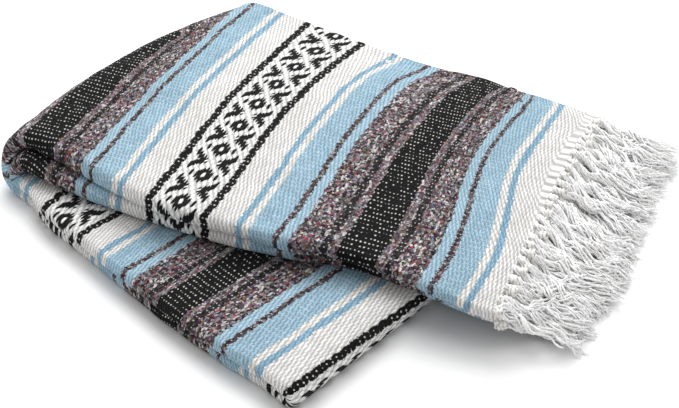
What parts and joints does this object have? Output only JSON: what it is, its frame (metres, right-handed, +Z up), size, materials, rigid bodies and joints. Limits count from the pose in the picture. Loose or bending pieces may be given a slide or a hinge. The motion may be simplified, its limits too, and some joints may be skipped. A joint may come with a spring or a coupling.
{
  "type": "folded mexican serape blanket",
  "caption": "Handwoven striped serape blanket with knotted fringe, folded into a flat stack that lies on a surface, its upper half turned a little to one side.",
  "frame": {"origin": "under the middle of the whole blanket, on the surface that it lies on", "axes": "+X along the blanket towards its fringed ends, +Y across it towards the edge where its folds are doubled, +Z up"},
  "size_m": [0.4792, 0.4484, 0.0468],
  "materials": {
    "woven_cloth": "weft-faced striped weave, matt, slightly hairy",
    "folded_layers": "weft-faced striped weave, matt",
    "fringe_yarn": "white warp yarn, knotted and loosely twisted"
  },
  "bodies": {
    "root": {"cloth_top_leaf": "woven_cloth", "cloth_outer_turn": "woven_cloth", "cloth_bottom_leaf": "woven_cloth", "cloth_middle_fold": "woven_cloth", "cloth_third_leaf": "woven_cloth", "cloth_inner_turn": "woven_cloth", "cloth_second_leaf": "woven_cloth", "hidden_layers": "folded_layers", "fringe_first_end": "fringe_yarn", "fringe_second_end": "fringe_yarn"}
  },
  "joints": []
}
